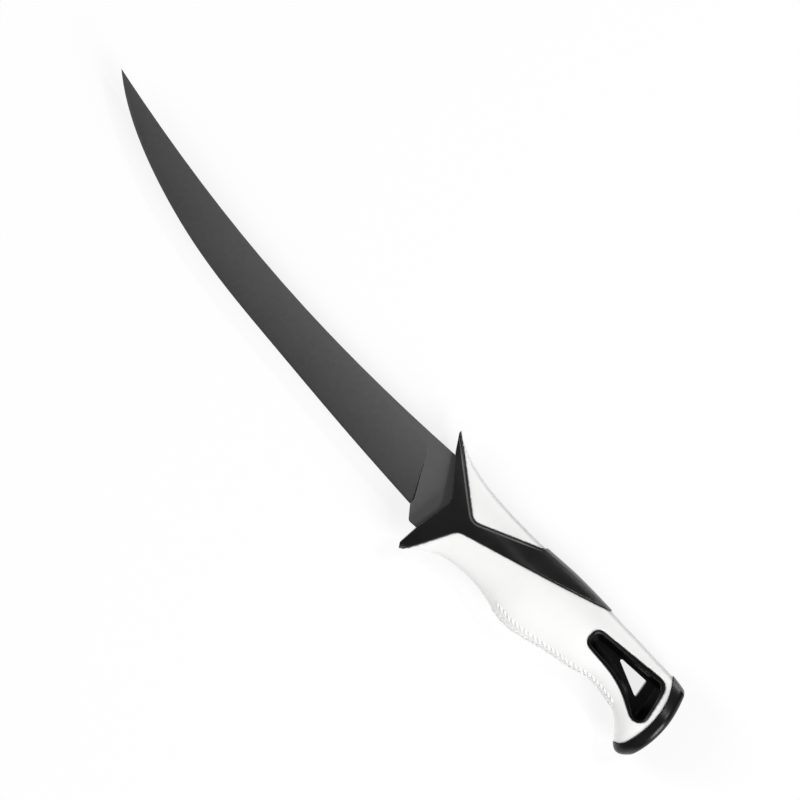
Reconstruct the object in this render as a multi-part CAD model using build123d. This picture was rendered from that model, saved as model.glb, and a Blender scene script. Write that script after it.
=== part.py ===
from build123d import *
import os

# Fillet knife: an upswept blade with a hidden tang, held by pins in a two-shell core. The core
# carries the two-horned guard and its arm. A soft thumb pad and palm grip are moulded over it, with
# a lanyard eyelet through the rear and a cap over the butt.
#
# The knife is drawn about the corner of the guard where the blade leaves the handle, half-way
# through its thickness. +X runs to the butt, +Y to the spine and +Z out of the left side. At the
# end it is moved so that it lies on its right side with its footprint centred on the origin.
# All sizes are in millimetres, and pairs are places along X and Y.

# Sizes of the blade.
blade_length = 224.0
tip_rise = 45.0
spine_rise = 18.3
spine_lead = 9.0
heel_lead = 11.6
heel_drop = 9.7
blade_stock = 2.5
spine_at_heel = 3.1
spine_at_tip = 1.1
edge_behind_bevel = 0.5
edge_land = 0.12
bevel_height = 0.9
bevel_overrun = 0.2
tip_height = 1.4

# Places on the spine and on the edge, from the guard to the tip. Each pair is a share of the blade's
# length and a share of its rise, which starts from the spine and from the heel.
spine_shares = ((0.22, 0.018), (0.45, 0.143), (0.67, 0.394), (0.89, 0.77))
edge_shares = ((0.22, 0.079), (0.45, 0.208), (0.67, 0.366), (0.78, 0.503), (0.89, 0.695), (0.96, 0.867))

# Places along the blade where the grind is measured.
grind_shares = (0.0, 0.12, 0.26, 0.4, 0.54, 0.68, 0.82, 0.94)

# Sizes of the plunge line, where the grind runs out ahead of the guard.
plunge_lead_at_edge = 11.4
plunge_lead_at_spine = 25.6
plunge_run = 1.1

# Sizes of the ricasso and the tang.
ricasso_lead = 7.4
ricasso_drop = 15.4
ricasso_radius = 2.0
ricasso_depth = 1.0
tang_start = 9.0
tang_front_height = 13.0
tang_rear_height = 9.0
tang_front_radius = 3.0
tang_rear_radius = 3.0
tang_relief = 0.1
tang_clearance = 0.1

# Sizes of the pins through the tang.
pin_radius = 2.0
pin_length = 11.0
pin_clearance = 0.1

# Sizes of the handle, over its black pieces.
handle_length = 130.8
guard_rise = 27.4
guard_drop = 27.0
handle_thickness = 24.0
ridge_rise = 0.6
skin_thickness = 2.6

# Stations of the handle's rounded form, from ahead of the horns to behind the butt. Each row has
# shares of the handle's length, the guard's rise, the guard's drop and half the handle's thickness.
station_shares = (
    (-0.168, 1.150, 1.330, 0.37),
    (-0.122, 1.000, 1.185, 0.44),
    (-0.069, 0.861, 1.080, 0.55),
    (-0.023, 0.766, 0.995, 0.65),
    (0.023, 0.701, 0.863, 0.72),
    (0.069, 0.653, 0.719, 0.76),
    (0.122, 0.617, 0.637, 0.79),
    (0.199, 0.580, 0.615, 0.83),
    (0.275, 0.558, 0.663, 0.91),
    (0.352, 0.553, 0.763, 0.98),
    (0.428, 0.558, 0.793, 1.00),
    (0.505, 0.547, 0.722, 0.98),
    (0.581, 0.522, 0.656, 0.94),
    (0.657, 0.489, 0.593, 0.88),
    (0.749, 0.453, 0.548, 0.84),
    (0.810, 0.427, 0.611, 0.87),
    (0.849, 0.412, 0.700, 0.91),
    (0.879, 0.402, 0.840, 0.94),
    (0.910, 0.387, 1.020, 0.97),
    (0.956, 0.345, 1.050, 1.00),
    (1.030, 0.310, 1.055, 1.00),
)

# Shape of one station: the width and fall of its crowned top, where it is widest, and how full its
# flanks are.
crown_half_share = 0.52
crown_fall_share = 0.22
widest_share = 0.52
flank_turn_share = 0.22
flank_drop_share = 0.28
flank_hold_share = 0.45
belly_hold_share = 0.62
belly_reach_share = 0.62

# Outlines on the handle, seen from its left side. Each pair is a share of the handle's length and a
# share of the guard's rise, or of its drop where the share is below zero.

# The guard's front face, from beyond the upper horn round its tip, past the blade, to beyond the lower horn.
guard_front_shares = (
    (-0.118, 1.387),
    (-0.124, 0.964),
    (-0.092, 0.708),
    (-0.002, 0.146),
    (0.003, 0.029),
    (-0.023, -0.556),
    (-0.031, -0.905),
    (0.027, -1.407),
)
guard_corner_radius = 1.6

# The top of the guard and its arm, from beyond the upper horn's back to above the tail.
guard_top_shares = (
    (-0.179, 1.238),
    (0.098, 0.092),
    (0.330, 0.506),
    (0.356, 0.693),
    (0.630, 0.693),
)
upper_notch_radius = 5.5
arm_shoulder_radius = 1.5

# The tail of the arm, and the arm's belly, which runs to beyond the lower horn's back.
tail_shares = ((0.621, 0.489), (0.535, 0.362), (0.420, 0.218))
tail_turn_share = (-1.0, -0.42)
arm_turn_share = (-1.0, -0.25)
guard_back_shares = ((0.420, 0.218), (0.083, -0.180), (-0.058, -1.390))
lower_notch_radius = 6.0

# Places beside the arm where its upper and lower crests are rounded.
crest_shares = ((0.220, 0.310), (0.250, 0.020))
crest_radius = 0.6

# The lanyard eyelet, a polygon rounded at its nose, its rear and its waist.
eyelet_shares = (
    (0.619, 0.172),
    (0.914, 0.243),
    (0.944, -0.696),
    (0.789, -0.248),
    (0.619, -0.141),
)
eyelet_nose_radius = 4.0
eyelet_shoulder_radius = 5.0
eyelet_foot_radius = 4.4
eyelet_waist_radius = 45.0
eyelet_rim = 1.5

# Places over the eyelet's rim and over its dish's lip, where both are rounded.
rim_shares = ((0.765, 0.220),)
rim_radius = 0.6
lip_shares = ((0.765, 0.150),)
lip_radius = 0.4

# The eyelet's dished faces and the three corners of its hole.
dish_draft = 2.2
dish_floor_half = 3.4
dish_lip_share = 0.3
hole_shares = ((0.732, 0.050), (0.856, 0.050), (0.8635, -0.256))
hole_radius = 0.6

# The butt cap: the arc of its outer face, and the curve of its inner face.
butt_outer_shares = ((0.963, 0.438), (0.997, -0.407), (0.952, -1.259))
butt_inner_shares = (
    (0.888, 0.511),
    (0.910, 0.376),
    (0.939, 0.124),
    (0.953, -0.344),
    (0.941, -0.763),
    (0.924, -0.941),
    (0.902, -1.000),
    (0.849, -1.022),
)
butt_radius = 3.0

# Sizes of the tongue that holds the butt cap.
tongue_height = 4.0
tongue_thickness = 8.0
tongue_radius = 1.2

# Places inside the handle: the tang's end and the tongue's start along the handle, the tongue's
# middle on the drop, and the pins along the tang.
tang_share = 0.573
tongue_share = 0.891
tongue_middle_share = 0.674
pin_shares = (0.24, 0.533, 0.827)

# One overrun serves every cut.
overrun = 12.0


def on_handle(shares):
    """The places on the handle's side view that pairs of shares stand for."""
    places = []
    for along, rise in shares:
        height = guard_rise if rise > 0 else guard_drop
        places.append((along * handle_length, rise * height))
    return places


def prism(outline):
    """A side-view face, run through the whole thickness of the handle and past both sides."""
    return extrude(outline, amount=handle_thickness / 2 + overrun, both=True)


def tang_end():
    """Where the tang ends inside the handle."""
    return handle_length * tang_share


def blade_edges():
    """The spine and the edge of the blade as curves, both from the guard to the tip."""
    tip = (-blade_length, tip_rise)
    spine_points = [
        (-blade_length * along, spine_rise + (tip_rise - spine_rise) * rise)
        for along, rise in spine_shares
    ]
    edge_points = [
        (-blade_length * along, -heel_drop + (tip_rise + heel_drop) * rise)
        for along, rise in edge_shares
    ]
    spine = Spline((-spine_lead, spine_rise), *spine_points, tip)
    edge = Spline((-heel_lead, -heel_drop), *edge_points, tip)
    return spine, edge


def blank_face():
    """The outline of the blade with its ricasso and tang."""
    spine, edge = blade_edges()
    front_half = tang_front_height / 2
    rear_half = tang_rear_height / 2
    tang = FilletPolyline(
        (-heel_lead, -heel_drop),
        (-ricasso_lead, -ricasso_drop),
        (ricasso_depth, -ricasso_drop),
        (tang_start, -front_half),
        (tang_end(), -rear_half),
        (tang_end(), rear_half),
        (tang_start, front_half),
        (-spine_lead, spine_rise),
        radius=[
            ricasso_radius,
            tang_front_radius,
            tang_front_radius,
            tang_rear_radius,
            tang_rear_radius,
            tang_front_radius,
        ],
    )
    return make_face([spine.edge(), edge.edge(), *tang.edges()])


def ground_wire(edge_point, spine_point, thickness, side):
    """One section across the blade of what is ground off its side, the bevel and then the flat."""
    up = (spine_point - edge_point).normalized()
    shoulder = edge_point + up * bevel_height
    bevel_slope = (edge_behind_bevel - edge_land) / 2 / bevel_height
    flat_slope = (thickness - edge_behind_bevel) / 2 / (spine_point - shoulder).length
    low_half = edge_land / 2 - bevel_slope * bevel_overrun
    high_half = thickness / 2 + flat_slope * overrun
    return Wire.make_polygon(
        [
            edge_point - up * overrun + Vector(0, 0, side * low_half),
            edge_point - up * bevel_overrun + Vector(0, 0, side * low_half),
            shoulder + Vector(0, 0, side * edge_behind_bevel / 2),
            spine_point + up * overrun + Vector(0, 0, side * high_half),
            spine_point + up * overrun + Vector(0, 0, side * overrun),
            edge_point - up * overrun + Vector(0, 0, side * overrun),
        ]
    )


def grind(side):
    """What is ground off one side from the edge to the spine, ended by a sloping plunge."""
    spine, edge = blade_edges()
    wires = []
    for along in grind_shares:
        thickness = spine_at_heel + (spine_at_tip - spine_at_heel) * along
        wires.append(ground_wire(edge @ along, spine @ along, thickness, side))
    edge_point, spine_point = tip_points(edge @ along, spine @ along)
    wires.append(ground_wire(edge_point, spine_point, spine_at_tip, side))
    return Part() + Solid.make_loft(wires) - plunge_keep(side)


def tip_points(edge_point, spine_point):
    """The last section's points, moved past the tip so that the cut runs off the blade."""
    middle = (edge_point + spine_point) / 2
    half_height = (spine_point - edge_point).normalized() * (tip_height / 2)
    past_tip = Vector(-blade_length, tip_rise) * 2 - middle
    return past_tip - half_height, past_tip + half_height


def plunge_keep(side):
    """The block behind the plunge line that the grind leaves alone, leaning back to the ricasso."""
    spine_end = Vector(-plunge_lead_at_spine, spine_rise)
    edge_end = Vector(-plunge_lead_at_edge, -heel_drop)
    down = (edge_end - spine_end).normalized()
    back = Vector(-down.Y, down.X)
    corners = [
        spine_end - down * overrun,
        edge_end + down * overrun,
        edge_end + down * overrun + back * handle_length,
        spine_end - down * overrun + back * handle_length,
    ]
    lean = back * plunge_run + Vector(0, 0, side * blade_stock / 2)
    block = make_face(Polyline(*corners, close=True))
    return extrude(block, amount=handle_thickness, dir=lean.normalized())


def form(grow):
    """The handle's rounded form, grown past or drawn inside its black surface."""
    wires = []
    for along, top_share, bottom_share, half_share in station_shares:
        place = along * handle_length
        top = guard_rise * top_share + grow
        bottom = -guard_drop * bottom_share - grow
        half = handle_thickness / 2 * half_share + grow
        wires.append(form_wire(place, top, bottom, half))
    return Solid.make_loft(wires)


def form_wire(place, top, bottom, half):
    """One station of the handle: a crowned top, a crest on each side, and full round flanks."""
    crown_half = half * crown_half_share
    crest = top - crown_half * crown_fall_share
    widest = bottom + (top - bottom) * widest_share

    def flank(side):
        """The upper and lower curve of one flank, from the crest down to the belly."""
        upper = Edge.make_bezier(
            (place, crest, side * crown_half),
            (
                place,
                crest - (crest - widest) * flank_drop_share,
                side * (crown_half + (half - crown_half) * flank_turn_share),
            ),
            (place, widest + (crest - widest) * flank_hold_share, side * half),
            (place, widest, side * half),
        )
        lower = Edge.make_bezier(
            (place, widest, side * half),
            (place, widest - (widest - bottom) * belly_hold_share, side * half),
            (place, bottom, side * half * belly_reach_share),
            (place, bottom, 0),
        )
        return upper, lower

    crown = Edge.make_three_point_arc(
        (place, crest, -crown_half), (place, top, 0), (place, crest, crown_half)
    )
    left_upper, left_lower = flank(1)
    right_upper, right_lower = flank(-1)
    return Wire([crown, left_upper, left_lower, right_lower, right_upper])


def ahead_of_guard():
    """Everything ahead of the guard's front face."""
    front = FilletPolyline(*on_handle(guard_front_shares), radius=guard_corner_radius)
    top, foot = front @ 0, front @ 1
    box = Polyline(foot, (-handle_length, foot.Y), (-handle_length, top.Y), top)
    return prism(make_face([*front.edges(), *box.edges()]))


def guard_top():
    """The upper outline of the black guard, from beyond the horn to above the tail."""
    radii = [upper_notch_radius, arm_shoulder_radius, arm_shoulder_radius]
    return FilletPolyline(*on_handle(guard_top_shares), radius=radii)


def guard_region():
    """The side view of the black guard with its horns and its arm."""
    top = guard_top()
    tail_places = on_handle(tail_shares)
    tail = Line(top @ 1, tail_places[0])
    belly = Spline(*tail_places, tangents=(tail_turn_share, arm_turn_share))
    back = FilletPolyline(*on_handle(guard_back_shares), radius=lower_notch_radius)
    foot, high = back @ 1, top @ 0
    box = Polyline(foot, (-handle_length, foot.Y), (-handle_length, high.Y), high)
    return make_face([*top.edges(), tail.edge(), belly.edge(), *back.edges(), *box.edges()])


def thumb_region():
    """The side view of everything above the guard and its arm."""
    top = guard_top()
    first, last = top @ 0, top @ 1
    high = first.Y + overrun
    lid = Polyline(last, (last.X, high), (-handle_length, high), (-handle_length, first.Y), first)
    return make_face([*top.edges(), *lid.edges()])


def butt_region():
    """The side view of everything behind the butt cap's inner face."""
    inner = Spline(*on_handle(butt_inner_shares))
    top, foot = inner @ 0, inner @ 1
    far = handle_length + overrun
    low = foot.Y - overrun
    box = Polyline(foot, (foot.X, low), (far, low), (far, top.Y), top)
    return make_face([inner.edge(), *box.edges()])


def behind_butt():
    """The side view of everything behind the butt cap's outer face."""
    outer = ThreePointArc(*on_handle(butt_outer_shares))
    top, foot = outer @ 0, outer @ 1
    far = handle_length + overrun
    box = Polyline(foot, (far, foot.Y), (far, top.Y), top)
    return make_face([outer.edge(), *box.edges()])


def eyelet_region():
    """The side view of the lanyard eyelet."""
    radii = [
        eyelet_nose_radius,
        eyelet_shoulder_radius,
        eyelet_foot_radius,
        eyelet_waist_radius,
        eyelet_nose_radius,
    ]
    return make_face(FilletPolyline(*on_handle(eyelet_shares), radius=radii, close=True))


def eyelet_dish(side):
    """One dished face of the eyelet, drawn in from its rim down to a flat floor."""

    def level(height, inset):
        """The outline drawn in by an inset, at a height above the middle of the handle."""
        inner = offset(eyelet_region(), amount=-inset)
        return Pos(0, 0, side * height) * inner.faces()[0].outer_wire()

    mouth = level(handle_thickness / 2, eyelet_rim - dish_draft * dish_lip_share)
    floor = level(dish_floor_half, eyelet_rim + dish_draft)
    return Solid.make_loft([mouth, floor])


def lanyard_hole():
    """The triangular hole through the eyelet."""
    face = make_face(Polyline(*on_handle(hole_shares), close=True))
    return prism(fillet(face.vertices(), hole_radius))


def make_blade():
    """The blade and tang, ground and sharpened on both sides, with holes for the pins."""
    blade = extrude(blank_face(), amount=blade_stock / 2, both=True)
    for side in (1, -1):
        blade -= grind(side)
        blade -= tang_relief_cut(side)
    for place in pin_places():
        blade -= Pos(place, 0) * Cylinder(pin_radius + pin_clearance, blade_stock + overrun)
    return blade


def tang_relief_cut(side):
    """What is taken off one side of the tang, so that it slips into the core."""
    slab = Box(handle_length, handle_length, handle_thickness)
    height = blade_stock / 2 - tang_relief + handle_thickness / 2
    return Pos(handle_length / 2 - overrun, 0, side * height) * slab - front


def pin_places():
    """Where the pins stand along the tang."""
    return [tang_end() * share for share in pin_shares]


def tang_pocket():
    """The space in the core for the tang and the root of the blade."""
    front_half = tang_front_height / 2 + tang_clearance
    rear_half = tang_rear_height / 2 + tang_clearance
    low = -ricasso_drop - tang_clearance
    high = spine_rise + tang_clearance
    ahead = -spine_lead - overrun
    outline = FilletPolyline(
        (ahead, low),
        (ricasso_depth, low),
        (tang_start, -front_half),
        (tang_end() + tang_clearance, -rear_half),
        (tang_end() + tang_clearance, rear_half),
        (tang_start, front_half),
        (-spine_lead, high),
        (ahead, high),
        radius=[
            tang_front_radius,
            tang_front_radius,
            tang_rear_radius,
            tang_rear_radius,
            tang_front_radius,
            ricasso_radius,
        ],
    )
    face = make_face([*outline.edges(), Line(outline @ 1, outline @ 0).edge()])
    return extrude(face, amount=blade_stock / 2 - tang_relief + tang_clearance, both=True)


def make_pins():
    """The pins through the tang, as one group of solids."""
    return [Pos(place, 0) * Cylinder(pin_radius, pin_length) for place in pin_places()]


def tongue():
    """The tongue of the butt cap, which runs forward into the core."""
    start = handle_length * tongue_share
    length = handle_length - start
    block = Box(length, tongue_height, tongue_thickness)
    block = fillet(block.edges().filter_by(Axis.X), tongue_radius)
    return Pos(start + length / 2, -guard_drop * tongue_middle_share) * block


def near_both_sides(part, shares):
    """The part's edges that run nearest to some places on the handle, on its left and on its right."""
    nearest = []
    for x, y in on_handle(shares):
        for side in (1, -1):
            place = (x, y, side * handle_thickness / 2)
            nearest.append(part.edges().sort_by_distance(place)[0])
    return nearest


def make_core():
    """The rigid core with its guard, before it is parted and hollowed."""
    inside = Part() + core_form - butt - front
    ridge = (Part() + outer_form) & guard
    ridge -= front
    return inside + fillet(near_both_sides(ridge, crest_shares), crest_radius)


def core_shell(core, keep):
    """One shell of the core, parted at the middle, with room for what it holds."""
    shell = split(core, bisect_by=Plane.XY, keep=keep)
    shell -= eyelet_through
    shell -= tang_pocket()
    shell -= tongue()
    for pin in make_pins():
        shell -= pin
    return shell


def make_thumb_pad():
    """The soft skin over the core between the upper horn and the arm."""
    pad = (Part() + grip_form) & thumb
    pad -= core_form
    return pad - front


def make_palm_grip():
    """The soft skin over the core below and behind the arm."""
    grip = (Part() + grip_form) - eyelet_through
    grip -= thumb
    grip -= guard
    grip -= butt
    grip -= core_form
    return grip - front


def make_eyelet():
    """The lanyard eyelet, dished on both faces, with its hole."""
    eyelet = (Part() + outer_form) & eyelet_through
    eyelet = fillet(near_both_sides(eyelet, rim_shares), rim_radius)
    for side in (1, -1):
        eyelet -= eyelet_dish(side)
    eyelet -= lanyard_hole()
    return fillet(near_both_sides(eyelet, lip_shares), lip_radius)


def make_butt_cap():
    """The cap over the butt, with its rounded end and the tongue that holds it."""
    cap = (Part() + outer_form) & butt
    cap -= rear
    end = cap.faces().sort_by(Axis.X)[-1].edges()
    return fillet(end, butt_radius) + (tongue() - rear - butt)


outer_form = form(0)
grip_form = form(-ridge_rise)
core_form = form(-ridge_rise - skin_thickness)
front = ahead_of_guard()
guard = prism(guard_region())
thumb = prism(thumb_region())
butt = prism(butt_region())
rear = prism(behind_butt())
eyelet_through = prism(eyelet_region())

core = make_core()
nodes = {
    "blade": make_blade(),
    "tang_pins": Compound(children=make_pins()),
    "core_left": core_shell(core, Keep.TOP),
    "core_right": core_shell(core, Keep.BOTTOM),
    "thumb_pad": make_thumb_pad(),
    "palm_grip": make_palm_grip(),
    "lanyard_eyelet": make_eyelet(),
    "butt_cap": make_butt_cap(),
}

# The knife is moved so that it lies on its right side with its footprint centred on the origin.
box = Compound([shape for node in nodes.values() for shape in node.solids()]).bounding_box()
resting_place = Pos(-box.center().X, -box.center().Y, -box.min.Z)
os.makedirs("parts", exist_ok=True)
for name, node in nodes.items():
    export_step(resting_place * node, f"parts/{name}.step")
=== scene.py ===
import math

import bmesh
import bpy
from mathutils import Matrix, Vector
from mathutils.bvhtree import BVHTree


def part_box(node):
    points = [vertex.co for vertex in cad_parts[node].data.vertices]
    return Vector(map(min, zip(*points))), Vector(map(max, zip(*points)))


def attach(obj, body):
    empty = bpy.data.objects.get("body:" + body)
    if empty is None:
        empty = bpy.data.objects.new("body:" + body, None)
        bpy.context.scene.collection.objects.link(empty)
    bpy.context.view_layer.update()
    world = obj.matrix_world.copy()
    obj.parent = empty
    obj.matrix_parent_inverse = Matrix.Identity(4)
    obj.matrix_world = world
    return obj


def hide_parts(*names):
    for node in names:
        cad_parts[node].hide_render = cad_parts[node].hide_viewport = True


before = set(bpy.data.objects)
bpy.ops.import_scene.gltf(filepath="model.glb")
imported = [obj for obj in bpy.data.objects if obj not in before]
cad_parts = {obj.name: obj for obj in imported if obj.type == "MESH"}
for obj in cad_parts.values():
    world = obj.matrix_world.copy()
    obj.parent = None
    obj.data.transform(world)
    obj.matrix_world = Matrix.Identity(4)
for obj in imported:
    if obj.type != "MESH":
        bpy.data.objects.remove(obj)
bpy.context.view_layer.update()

# Sizes in metres. The guard's corner is where the blade leaves the handle, and the frame gives its
# place: the blade's tip is the lowest X and the highest Y of the blade.
MM = 0.001
BLADE_LENGTH = 224.0 * MM
TIP_RISE = 45.0 * MM
blade_low, blade_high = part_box("blade")
GUARD_X = blade_low.x + BLADE_LENGTH
AXIS_Y = blade_high.y - TIP_RISE
MIDDLE_Z = (blade_low.z + blade_high.z) / 2
STOCK_HALF = (blade_high.z - blade_low.z) / 2

# Painted light lightens the blade's sides as the blade gets thicker, from this half-thickness near the
# cutting edge.
EDGE_HALF = 0.2 * STOCK_HALF

# The soft skins are remeshed with cells of this size, and smoothed this many times.
SKIN_VOXEL = 0.44 * MM
SKIN_SMOOTHING = 9
SKIN_SMOOTH_FACTOR = 0.5

# The raised ticks under the grip, in rows along the handle that fan out round its underside. Rays find
# their places on the grip: they start out at the reach and aim at a line below the handle's axis.
TICK_LENGTH = 3.2 * MM
TICK_WIDTH = 1.0 * MM
TICK_HEIGHT = 0.45 * MM
TICK_PITCH = 2.3 * MM
TICK_SLANT = math.radians(40)
TICK_START = 44.0 * MM
TICK_END = 110.0 * MM
TICK_ROWS = 5
TICK_FAN = math.radians(15)
TICK_AXIS_DROP = 5.0 * MM
TICK_REACH = 60.0 * MM
TICK_SEGMENTS = 12
TICK_RINGS = 8

# The fine bead along the back of the guard and over its arm, beside the thumb pad. Its places are in
# millimetres from the guard's corner. It is rounded over a share of its way on both sides of its middle
# place. Its ends have a share of its radius, and it thickens from there at the taper's rate.
BEAD_RADIUS = 0.42 * MM
BEAD_PLACES = ((-15.0, 24.9), (12.5, 1.4), (42.8, 12.7))
BEAD_TURN = 0.055
BEAD_STEPS = 90
BEAD_ABOVE = 40.0 * MM
BEAD_END_RADIUS = 0.15
BEAD_TAPER = 6.0
BEAD_ROUNDNESS = 3

# Grains, clouds, specks, mottle and streaks are noises, in features to the metre. Their values mostly lie
# in the noise range. A name with SEEN is the part of a noise in which something shows, and one with SHARE
# is how much of it is added. The full range is from none to all.
NOISE_RANGE = (0.3, 0.7)
FULL_RANGE = (0.0, 1.0)

# An edge is worn by how far its rounded normal turns from the flat one, as the cosine between them.
EDGE_COSINES = (0.995, 0.86)
EDGE_SAMPLES = 6

# The coating of the blade. The plunge line's step, known by the X of its normal, is painted dark as shade.
COAT_DARK = (0.096, 0.096, 0.098)
COAT_LIGHT = (0.11, 0.11, 0.112)
COAT_MARK = (0.17, 0.17, 0.172)
# The next two are painted light where the blade is thick and painted shade on the plunge line's step.
COAT_PAINTED_LIGHT = (0.2, 0.2, 0.202)
COAT_PLUNGE_SHADE = (0.01, 0.01, 0.01)
COAT_WORN = (0.2, 0.2, 0.205)
COAT_GLANCING = (0.3, 0.3, 0.31, 1.0)
COAT_METALLIC = 0.85
COAT_ROUGHNESS = (0.38, 0.5)
COAT_EDGE_RADIUS = 0.2 * MM
GRIND_GRAIN = 5200.0
GRIND_STRETCH = (1.0, 0.06, 1.0)
GRIND_TURN = math.radians(-8)
COAT_CLOUDS = 26.0
COAT_SPECKS = 2600.0
COAT_MARKS_SEEN = (0.56, 0.8)
COAT_MARKS_SHARE = (0.0, 0.3)
COAT_SPECKS_SEEN = (0.35, 0.65)
COAT_WORN_SHARE = (0.25, 1.0)
COAT_PAINTED_LIGHT_SHARE = (0.0, 0.7)
PLUNGE_NORMAL = (-0.2, -0.45)
PLUNGE_SHADE_SHARE = (0.0, 0.85)

# The black mouldings. Their lighter and worn tones are this many times their own colour.
MOULDING_CLOUDS = 90.0
MOULDING_SPECKS = 1400.0
MOULDING_LIGHTER = 1.5
MOULDING_WORN = 4.0
MOULDING_CLOUDS_SEEN = (0.35, 0.7)
MOULDING_WORN_SHARE = (0.2, 0.9)
MOULDING_SPECKS_SEEN = (0.4, 0.8)
MOULDING_SPECKS_ROUGHNESS = (0.0, 0.04)

# The white soft plastic, which light enters a little.
RUBBER_SHADED = (0.85, 0.85, 0.84)
RUBBER_CLEAN = (0.88, 0.88, 0.872)
RUBBER_DIRT = (0.8, 0.8, 0.79)
RUBBER_GRAIN = 5200.0
RUBBER_CLOUDS = 60.0
RUBBER_MOTTLE = 900.0
RUBBER_MOTTLE_SEEN = (0.55, 0.85)
RUBBER_DIRT_SHARE = (0.0, 0.25)
RUBBER_SHINE = 0.35
RUBBER_ROUGHNESS = (0.52, 0.66)
RUBBER_GLOW_WEIGHT = 0.08
RUBBER_GLOW_DEPTH = (0.6 * MM, 0.55 * MM, 0.5 * MM)

# The steel of the hidden pins, with streaks along them.
PIN_DARK = (0.5, 0.5, 0.51)
PIN_LIGHT = (0.6, 0.6, 0.61)
PIN_STREAKS = 3000.0
PIN_STRETCH = (1.0, 1.0, 0.05)
PIN_ROUGHNESS = (0.3, 0.42)

# The floor's white share is plain white to the camera and in reflections, and the rest of it takes shadow.
FLOOR_SIZE = 12.0
FLOOR_COLOUR = (0.9, 0.9, 0.9, 1.0)
FLOOR_ROUGHNESS = 0.9
FLOOR_SHINE = 0.1
FLOOR_WHITE_SHARE = 0.82
STUDIO_STRENGTH = 0.16

# The camera stands over the knife's left side and is turned so that the handle runs down to the right.
HANDLE_SLOPE = math.radians(42.0)
FRAME_WIDTH = 336.0 * MM
VIEW_CENTRE = (-43.87 * MM, 19.84 * MM)
CAMERA_HEIGHT = 1.9
SENSOR_WIDTH = 36.0


def new_material(name):
    """A new material with its node tree and its surface shader."""
    material = bpy.data.materials.new(name)
    material.use_nodes = True
    tree = material.node_tree
    tree.nodes.clear()
    output = tree.nodes.new("ShaderNodeOutputMaterial")
    surface = tree.nodes.new("ShaderNodeBsdfPrincipled")
    tree.links.new(surface.outputs["BSDF"], output.inputs["Surface"])
    return material, tree, surface


def place_of(tree, stretch=(1.0, 1.0, 1.0), turn=0.0):
    """The place on the object, stretched along its axes and turned about Z."""
    coordinates = tree.nodes.new("ShaderNodeTexCoord")
    mapping = tree.nodes.new("ShaderNodeMapping")
    mapping.inputs["Scale"].default_value = stretch
    mapping.inputs["Rotation"].default_value = (0.0, 0.0, turn)
    tree.links.new(coordinates.outputs["Object"], mapping.inputs["Vector"])
    return mapping.outputs["Vector"]


def noise(tree, vector, scale, detail, roughness):
    """A noise value between 0 and 1. Its scale is in features to the metre."""
    node = tree.nodes.new("ShaderNodeTexNoise")
    node.inputs["Scale"].default_value = scale
    node.inputs["Detail"].default_value = detail
    node.inputs["Roughness"].default_value = roughness
    tree.links.new(vector, node.inputs["Vector"])
    return node.outputs["Fac"]


def span(tree, value, source, result):
    """A value spread from one range to another, and held at its ends."""
    node = tree.nodes.new("ShaderNodeMapRange")
    node.inputs["From Min"].default_value, node.inputs["From Max"].default_value = source
    node.inputs["To Min"].default_value, node.inputs["To Max"].default_value = result
    tree.links.new(value, node.inputs["Value"])
    return node.outputs["Result"]


def blend_colours(tree, amount, first, second):
    """A colour between two, by an amount from 0 to 1. Either colour may be a socket."""
    node = tree.nodes.new("ShaderNodeMix")
    node.data_type = "RGBA"
    tree.links.new(amount, node.inputs["Factor"])
    for socket, colour in ((node.inputs["A"], first), (node.inputs["B"], second)):
        if isinstance(colour, tuple):
            socket.default_value = (*colour, 1.0)
        else:
            tree.links.new(colour, socket)
    return node.outputs["Result"]


def arithmetic(tree, operation, first, second):
    """One sum of two values. Either may be a number or a socket."""
    node = tree.nodes.new("ShaderNodeMath")
    node.operation = operation
    for socket, value in zip(node.inputs, (first, second)):
        if isinstance(value, float):
            socket.default_value = value
        else:
            tree.links.new(value, socket)
    return node.outputs["Value"]


def component(tree, vector, axis):
    """One component of a vector."""
    parts = tree.nodes.new("ShaderNodeSeparateXYZ")
    tree.links.new(vector, parts.inputs["Vector"])
    return parts.outputs[axis]


def edge_softness(tree, radius):
    """The surface's normal with its edges rounded, and from 0 to 1 how far it turns from the flat one."""
    rounded = tree.nodes.new("ShaderNodeBevel")
    rounded.samples = EDGE_SAMPLES
    rounded.inputs["Radius"].default_value = radius
    geometry = tree.nodes.new("ShaderNodeNewGeometry")
    dot = tree.nodes.new("ShaderNodeVectorMath")
    dot.operation = "DOT_PRODUCT"
    tree.links.new(rounded.outputs["Normal"], dot.inputs[0])
    tree.links.new(geometry.outputs["Normal"], dot.inputs[1])
    turn = span(tree, dot.outputs["Value"], EDGE_COSINES, FULL_RANGE)
    return rounded.outputs["Normal"], turn


def bump(tree, surface, height, strength, distance, normal=None):
    """Raises the surface's shading by a height value."""
    node = tree.nodes.new("ShaderNodeBump")
    node.inputs["Strength"].default_value = strength
    node.inputs["Distance"].default_value = distance
    tree.links.new(height, node.inputs["Height"])
    if normal is not None:
        tree.links.new(normal, node.inputs["Normal"])
    tree.links.new(node.outputs["Normal"], surface.inputs["Normal"])


def blade_half_thickness(tree):
    """Half the blade's thickness at a place on its side, as the height off the middle."""
    height = arithmetic(tree, "SUBTRACT", component(tree, place_of(tree), "Z"), MIDDLE_Z)
    return arithmetic(tree, "ABSOLUTE", height, 0.0)


def painted_plunge_shade(tree):
    """How far a face gets the plunge line's painted shade: faces whose normal looks along the blade to its
    tip.
    """
    geometry = tree.nodes.new("ShaderNodeNewGeometry")
    return span(tree, component(tree, geometry.outputs["Normal"], "X"), PLUNGE_NORMAL, PLUNGE_SHADE_SHARE)


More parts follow.
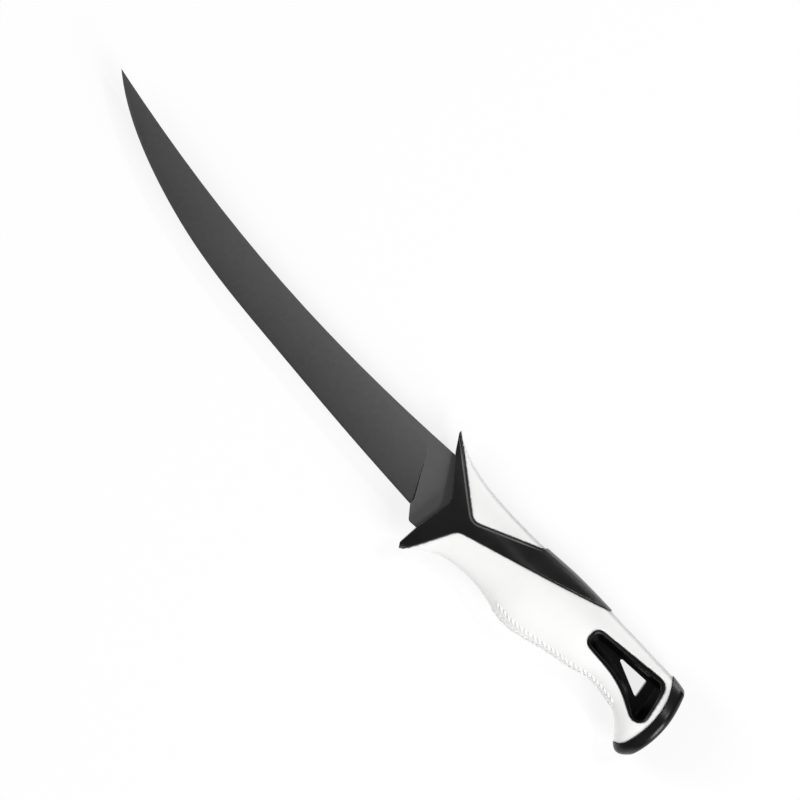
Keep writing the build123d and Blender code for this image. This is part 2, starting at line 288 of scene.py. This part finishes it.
def coated_steel():
    """Dark grey coated steel with grinding marks, worn edges, painted light where thick and painted plunge
    shade.
    """
    material, tree, surface = new_material("coated_steel")
    across = place_of(tree, stretch=GRIND_STRETCH, turn=GRIND_TURN)
    marks = noise(tree, across, GRIND_GRAIN, detail=4.0, roughness=0.6)
    cloud = noise(tree, place_of(tree), COAT_CLOUDS, detail=4.0, roughness=0.55)
    specks = noise(tree, place_of(tree), COAT_SPECKS, detail=2.0, roughness=0.5)
    shade = blend_colours(tree, span(tree, cloud, NOISE_RANGE, FULL_RANGE), COAT_DARK, COAT_LIGHT)
    shade = blend_colours(tree, span(tree, marks, COAT_MARKS_SEEN, COAT_MARKS_SHARE), shade, COAT_MARK)
    # Painted light where the blade is thick, then painted shade on the plunge line's step.
    painted_light_amount = span(tree, blade_half_thickness(tree), (EDGE_HALF, STOCK_HALF), COAT_PAINTED_LIGHT_SHARE)
    shade = blend_colours(tree, painted_light_amount, shade, COAT_PAINTED_LIGHT)
    shade = blend_colours(tree, painted_plunge_shade(tree), shade, COAT_PLUNGE_SHADE)
    normal, edge = edge_softness(tree, COAT_EDGE_RADIUS)
    worn = arithmetic(tree, "MULTIPLY", edge, span(tree, specks, COAT_SPECKS_SEEN, COAT_WORN_SHARE))
    shade = blend_colours(tree, worn, shade, COAT_WORN)
    tree.links.new(shade, surface.inputs["Base Color"])
    surface.inputs["Metallic"].default_value = COAT_METALLIC
    surface.inputs["Specular Tint"].default_value = COAT_GLANCING
    tree.links.new(span(tree, marks, NOISE_RANGE, COAT_ROUGHNESS), surface.inputs["Roughness"])
    bump(tree, surface, marks, strength=0.12, distance=0.02 * MM, normal=normal)
    return material


def lightened(colour, times):
    """A colour made lighter this many times."""
    return tuple(times * channel for channel in colour)


def black_moulding(name, base, shine, roughness, grain, edge_radius):
    """Black moulded plastic with a fine grain, a little clouding and lighter worn edges."""
    material, tree, surface = new_material(name)
    fine = noise(tree, place_of(tree), grain, detail=3.0, roughness=0.6)
    cloud = noise(tree, place_of(tree), MOULDING_CLOUDS, detail=3.0, roughness=0.5)
    specks = noise(tree, place_of(tree), MOULDING_SPECKS, detail=2.0, roughness=0.5)
    clouded = span(tree, cloud, MOULDING_CLOUDS_SEEN, FULL_RANGE)
    shade = blend_colours(tree, clouded, base, lightened(base, MOULDING_LIGHTER))
    normal, edge = edge_softness(tree, edge_radius)
    worn = arithmetic(tree, "MULTIPLY", edge, span(tree, specks, NOISE_RANGE, MOULDING_WORN_SHARE))
    shade = blend_colours(tree, worn, shade, lightened(base, MOULDING_WORN))
    tree.links.new(shade, surface.inputs["Base Color"])
    surface.inputs["Specular IOR Level"].default_value = shine
    broad = span(tree, cloud, NOISE_RANGE, roughness)
    speckled = span(tree, specks, MOULDING_SPECKS_SEEN, MOULDING_SPECKS_ROUGHNESS)
    tree.links.new(arithmetic(tree, "ADD", broad, speckled), surface.inputs["Roughness"])
    bump(tree, surface, fine, strength=0.1, distance=0.02 * MM, normal=normal)
    return material


def white_rubber():
    """Matte white soft plastic with a fine grain, faint clouding and a little mottled dirt."""
    material, tree, surface = new_material("white_rubber")
    fine = noise(tree, place_of(tree), RUBBER_GRAIN, detail=3.0, roughness=0.6)
    cloud = noise(tree, place_of(tree), RUBBER_CLOUDS, detail=4.0, roughness=0.55)
    mottle = noise(tree, place_of(tree), RUBBER_MOTTLE, detail=3.0, roughness=0.5)
    shade = blend_colours(tree, span(tree, cloud, NOISE_RANGE, FULL_RANGE), RUBBER_SHADED, RUBBER_CLEAN)
    dirty = span(tree, mottle, RUBBER_MOTTLE_SEEN, RUBBER_DIRT_SHARE)
    shade = blend_colours(tree, dirty, shade, RUBBER_DIRT)
    tree.links.new(shade, surface.inputs["Base Color"])
    surface.inputs["Specular IOR Level"].default_value = RUBBER_SHINE
    surface.inputs["Subsurface Weight"].default_value = RUBBER_GLOW_WEIGHT
    surface.inputs["Subsurface Radius"].default_value = RUBBER_GLOW_DEPTH
    surface.inputs["Subsurface Scale"].default_value = 1.0
    tree.links.new(span(tree, mottle, NOISE_RANGE, RUBBER_ROUGHNESS), surface.inputs["Roughness"])
    bump(tree, surface, fine, strength=0.14, distance=0.03 * MM)
    return material


def bare_steel():
    """Plain drawn steel for the hidden pins."""
    material, tree, surface = new_material("pin_steel")
    streaks = noise(tree, place_of(tree, stretch=PIN_STRETCH), PIN_STREAKS, detail=3.0, roughness=0.5)
    shade = blend_colours(tree, span(tree, streaks, NOISE_RANGE, FULL_RANGE), PIN_DARK, PIN_LIGHT)
    tree.links.new(shade, surface.inputs["Base Color"])
    surface.inputs["Metallic"].default_value = 1.0
    tree.links.new(span(tree, streaks, NOISE_RANGE, PIN_ROUGHNESS), surface.inputs["Roughness"])
    bump(tree, surface, streaks, strength=0.1, distance=0.02 * MM)
    return material


def dress(node, material):
    """Gives a CAD node's own object a new material in every slot."""
    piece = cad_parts[node]
    if not piece.data.materials:
        piece.data.materials.append(material)
    for index in range(len(piece.data.materials)):
        piece.data.materials[index] = material


def add_object(name, data):
    """A new object in the scene."""
    piece = bpy.data.objects.new(name, data)
    bpy.context.scene.collection.objects.link(piece)
    return piece


def finished_mesh(piece):
    """A new mesh of an object's final shape, with its modifiers or its curve worked out."""
    graph = bpy.context.evaluated_depsgraph_get()
    return bpy.data.meshes.new_from_object(piece.evaluated_get(graph))


def coat(mesh, material):
    """Gives a new mesh its one material and smooth shading."""
    mesh.materials.clear()
    mesh.materials.append(material)
    mesh.shade_smooth()


def soft_skin(node, name, material):
    """A moulded soft skin made from its CAD solid: remeshed, and smoothed so that its edges are rounded."""
    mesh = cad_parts[node].data.copy()
    mesh.materials.clear()
    piece = add_object(name, mesh)
    remesh = piece.modifiers.new("remesh", "REMESH")
    remesh.mode = "VOXEL"
    remesh.voxel_size = SKIN_VOXEL
    smooth = piece.modifiers.new("smooth", "SMOOTH")
    smooth.factor = SKIN_SMOOTH_FACTOR
    smooth.iterations = SKIN_SMOOTHING
    skin = finished_mesh(piece)
    piece.modifiers.clear()
    piece.data = skin
    coat(skin, material)
    return piece


def tick_mesh(place, normal, lean):
    """One raised tick: a low, long and rounded lump on the grip, turned off the handle's axis."""
    forward = Vector((1.0, 0.0, 0.0))
    forward = (forward - normal * forward.dot(normal)).normalized()
    forward = Matrix.Rotation(lean, 3, normal) @ forward
    sideways = normal.cross(forward)
    stance = Matrix.Translation(place) @ Matrix((forward, sideways, normal)).transposed().to_4x4()
    shape = bmesh.new()
    bmesh.ops.create_uvsphere(shape, u_segments=TICK_SEGMENTS, v_segments=TICK_RINGS, radius=1.0)
    bmesh.ops.scale(shape, vec=(TICK_LENGTH / 2, TICK_WIDTH / 2, TICK_HEIGHT), verts=shape.verts)
    bmesh.ops.transform(shape, matrix=stance, verts=shape.verts)
    lump = bpy.data.meshes.new("tick")
    shape.to_mesh(lump)
    shape.free()
    return lump


def add_ticks(skin):
    """Raises rows of slanted ticks round the underside of the grip, as part of its own mesh.

    Every second row leans the other way and starts half a pitch on.
    """
    surface = BVHTree.FromObject(skin, bpy.context.evaluated_depsgraph_get())
    grip = bmesh.new()
    grip.from_mesh(skin.data)
    count = int((TICK_END - TICK_START) / TICK_PITCH)
    for row in range(TICK_ROWS):
        turn = (row - (TICK_ROWS - 1) / 2) * TICK_FAN
        outward = Vector((0.0, -math.cos(turn), math.sin(turn)))
        lean = TICK_SLANT if row % 2 else -TICK_SLANT
        for number in range(count):
            along = GUARD_X + TICK_START + (number + 0.5 * (row % 2)) * TICK_PITCH
            axis = Vector((along, AXIS_Y - TICK_AXIS_DROP, MIDDLE_Z))
            place, normal, _, _ = surface.ray_cast(axis + outward * TICK_REACH, -outward)
            if place is None:
                continue
            lump = tick_mesh(place, normal, lean)
            grip.from_mesh(lump)
            bpy.data.meshes.remove(lump)
    grip.to_mesh(skin.data)
    grip.free()
    skin.data.shade_smooth()
    return skin


def bead_place(share):
    """A place on the bead's side view, by its share of the way."""
    start, corner, end = (Vector(place) * MM for place in BEAD_PLACES)
    way = (corner - start).length + (end - corner).length
    corner_share = (corner - start).length / way
    first, last = corner_share - BEAD_TURN, corner_share + BEAD_TURN
    if share <= first:
        return start.lerp(corner, share / corner_share)
    if share >= last:
        return corner.lerp(end, (share - corner_share) / (1 - corner_share))
    entry = start.lerp(corner, first / corner_share)
    leave = corner.lerp(end, (last - corner_share) / (1 - corner_share))
    along = (share - first) / (last - first)
    return entry.lerp(corner, along).lerp(corner.lerp(leave, along), along)


def bead_side(curve, node, outward):
    """Lays one side's bead on the outside of a core shell, thinned at both ends."""
    surface = BVHTree.FromObject(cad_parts[node], bpy.context.evaluated_depsgraph_get())
    hits = []
    for step in range(BEAD_STEPS + 1):
        place = bead_place(step / BEAD_STEPS)
        above = Vector((GUARD_X + place.x, AXIS_Y + place.y, MIDDLE_Z + outward * BEAD_ABOVE))
        hit = surface.ray_cast(above, Vector((0.0, 0.0, -outward)))[0]
        if hit is not None:
            hits.append(hit)
    spline = curve.splines.new("POLY")
    spline.points.add(len(hits) - 1)
    for index, (point, hit) in enumerate(zip(spline.points, hits)):
        point.co = (*hit, 1.0)
        end_share = min(index, len(hits) - 1 - index) / len(hits)
        point.radius = min(1.0, BEAD_END_RADIUS + BEAD_TAPER * end_share)


def add_guard_bead(material):
    """The fine raised bead on both sides of the guard, as one mesh."""
    curve = bpy.data.curves.new("guard_bead", "CURVE")
    curve.dimensions = "3D"
    curve.bevel_depth = BEAD_RADIUS
    curve.bevel_resolution = BEAD_ROUNDNESS
    curve.use_fill_caps = True
    bead_side(curve, "core_left", 1.0)
    bead_side(curve, "core_right", -1.0)
    drawn = add_object("guard_bead_curve", curve)
    mesh = finished_mesh(drawn)
    bpy.data.objects.remove(drawn)
    coat(mesh, material)
    return add_object("guard_bead", mesh)


def finish_piece(piece, slot, *nodes):
    """Rides a new piece on the knife's one body, in place of the CAD nodes that it stands for."""
    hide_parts(*nodes)
    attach(piece, "root")


def make_floor():
    """A white floor that keeps the knife's soft shadow."""
    bpy.ops.mesh.primitive_plane_add(size=FLOOR_SIZE, location=(0.0, 0.0, 0.0))
    floor = bpy.context.object
    floor.name = "floor"
    material, tree, surface = new_material("floor")
    surface.inputs["Base Color"].default_value = FLOOR_COLOUR
    surface.inputs["Roughness"].default_value = FLOOR_ROUGHNESS
    surface.inputs["Specular IOR Level"].default_value = FLOOR_SHINE
    glow = tree.nodes.new("ShaderNodeEmission")
    glow.inputs["Strength"].default_value = 1.0
    path = tree.nodes.new("ShaderNodeLightPath")
    seen = arithmetic(tree, "MAXIMUM", path.outputs["Is Camera Ray"], path.outputs["Is Glossy Ray"])
    seen = arithmetic(tree, "MAXIMUM", seen, path.outputs["Is Transmission Ray"])
    share = arithmetic(tree, "MULTIPLY", seen, FLOOR_WHITE_SHARE)
    mix = tree.nodes.new("ShaderNodeMixShader")
    tree.links.new(share, mix.inputs["Fac"])
    tree.links.new(surface.outputs["BSDF"], mix.inputs[1])
    tree.links.new(glow.outputs["Emission"], mix.inputs[2])
    output = next(node for node in tree.nodes if node.type == "OUTPUT_MATERIAL")
    tree.links.new(mix.outputs["Shader"], output.inputs["Surface"])
    floor.data.materials.append(material)


def make_world():
    """A dim and even studio, so that the black pieces mirror little but the lamps and the floor."""
    world = bpy.data.worlds.new("studio")
    bpy.context.scene.world = world
    world.use_nodes = True
    background = world.node_tree.nodes["Background"]
    background.inputs["Color"].default_value = (1.0, 1.0, 1.0, 1.0)
    background.inputs["Strength"].default_value = STUDIO_STRENGTH


def soft_box(name, place, size, power):
    """A rectangular area lamp at a place, turned to face the middle of the knife."""
    lamp = bpy.data.lights.new(name, "AREA")
    lamp.shape = "RECTANGLE"
    lamp.size, lamp.size_y = size
    lamp.energy = power
    holder = add_object(name, lamp)
    holder.location = place
    holder.rotation_mode = "QUATERNION"
    aim = Vector((0.0, 0.0, MIDDLE_Z))
    holder.rotation_quaternion = (aim - Vector(place)).to_track_quat("-Z", "Y")


def make_lights():
    """Broad lamps beside the tip and the butt, and a small one on the spine's side."""
    soft_box("spine_side_lamp", place=(0.4, 0.72, 1.2), size=(0.3, 0.06), power=4.4)
    soft_box("butt_side_lamp", place=(1.8, -0.3, 1.2), size=(0.8, 1.4), power=42.0)
    soft_box("tip_side_lamp", place=(-1.9, -0.4, 1.2), size=(0.8, 1.4), power=32.0)


def make_camera():
    """A long lens straight over the knife, turned to the slope of its handle."""
    camera = bpy.data.cameras.new("camera")
    camera.sensor_width = SENSOR_WIDTH
    camera.lens = SENSOR_WIDTH * CAMERA_HEIGHT / FRAME_WIDTH
    holder = add_object("camera", camera)
    holder.location = (GUARD_X + VIEW_CENTRE[0], AXIS_Y + VIEW_CENTRE[1], MIDDLE_Z + CAMERA_HEIGHT)
    holder.rotation_euler = (0.0, 0.0, HANDLE_SLOPE)
    bpy.context.scene.camera = holder


# The materials
nylon = black_moulding(
    "black_nylon",
    base=(0.0045, 0.0045, 0.005),
    shine=0.42,
    roughness=(0.27, 0.31),
    grain=4200.0,
    edge_radius=0.25 * MM,
)
# The eyelet's own black, made darker still as painted shade in its dished recess.
eyelet_black_and_shade = black_moulding(
    "black_moulding",
    base=(0.0016, 0.0016, 0.0018),
    shine=0.2,
    roughness=(0.28, 0.36),
    grain=4200.0,
    edge_radius=0.2 * MM,
)
cap_black = black_moulding(
    "black_gloss",
    base=(0.003, 0.003, 0.0034),
    shine=0.29,
    roughness=(0.25, 0.31),
    grain=3000.0,
    edge_radius=0.2 * MM,
)
# The bead's black, many times lighter than the nylon's, is a painted highlight along the guard's crest.
bead_painted_highlight = black_moulding(
    "bead_painted_highlight",
    base=(0.072, 0.072, 0.074),
    shine=0.5,
    roughness=(0.3, 0.38),
    grain=4200.0,
    edge_radius=0.1 * MM,
)
rubber = white_rubber()

# The pieces that keep their CAD shape
dress("blade", coated_steel())
dress("tang_pins", bare_steel())
dress("core_left", nylon)
dress("core_right", nylon)
dress("lanyard_eyelet", eyelet_black_and_shade)
dress("butt_cap", cap_black)

# The soft skins, and the bead that the CAD leaves out
palm = add_ticks(soft_skin("palm_grip", "palm_grip_skin", rubber))
finish_piece(palm, "white_rubber", "palm_grip")
finish_piece(soft_skin("thumb_pad", "thumb_pad_skin", rubber), "white_rubber", "thumb_pad")

bead = add_guard_bead(bead_painted_highlight)
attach(bead, "root")

# The studio
make_floor()
make_world()
make_lights()
make_camera()
bpy.context.scene.view_settings.view_transform = "Standard"
